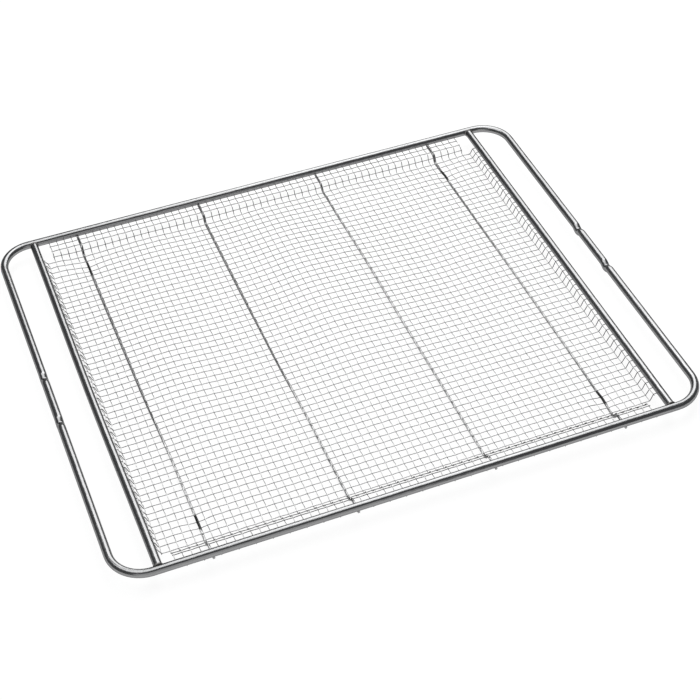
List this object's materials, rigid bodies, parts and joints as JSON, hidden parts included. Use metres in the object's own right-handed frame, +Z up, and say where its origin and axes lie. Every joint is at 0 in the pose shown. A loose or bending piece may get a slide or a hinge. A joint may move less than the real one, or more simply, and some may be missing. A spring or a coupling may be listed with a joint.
{
  "type": "wire cooling rack",
  "caption": "Welded rod frame with rounded corners, a hand opening at each end, and a shallow square-mesh tray carried on thin support wires.",
  "frame": {"origin": "under the middle of the rack, on the surface that the support wires stand on", "axes": "+X along the rack from one hand opening to the other, +Y across it to the back rail, +Z up"},
  "size_m": [0.65, 0.53, 0.0236],
  "materials": {
    "frame_rod": "bright drawn and polished stainless rod",
    "weld": "cleaned weld bead, duller than the rod",
    "support_wire": "drawn stainless wire",
    "mesh_wire": "bright drawn stainless wire"
  },
  "bodies": {
    "root": {"outer_frame": "frame_rod", "left_cross_bar": "frame_rod", "right_cross_bar": "frame_rod", "front_left_weld": "weld", "back_left_weld": "weld", "front_right_weld": "weld", "back_right_weld": "weld", "left_support_wire": "support_wire", "inner_left_support_wire": "support_wire", "inner_right_support_wire": "support_wire", "right_support_wire": "support_wire", "floor_long_wires": "mesh_wire", "floor_cross_wires_left_bay": "mesh_wire", "floor_cross_wires_inner_left_bay": "mesh_wire", "floor_cross_wires_centre_bay": "mesh_wire", "floor_cross_wires_inner_right_bay": "mesh_wire", "floor_cross_wires_right_bay": "mesh_wire", "front_flange_cross_wires": "mesh_wire", "front_flange_long_wires": "mesh_wire", "back_flange_cross_wires": "mesh_wire", "back_flange_long_wires": "mesh_wire", "left_flange_cross_wires": "mesh_wire", "left_flange_long_wires": "mesh_wire", "right_flange_cross_wires": "mesh_wire", "right_flange_long_wires": "mesh_wire"}
  },
  "joints": []
}
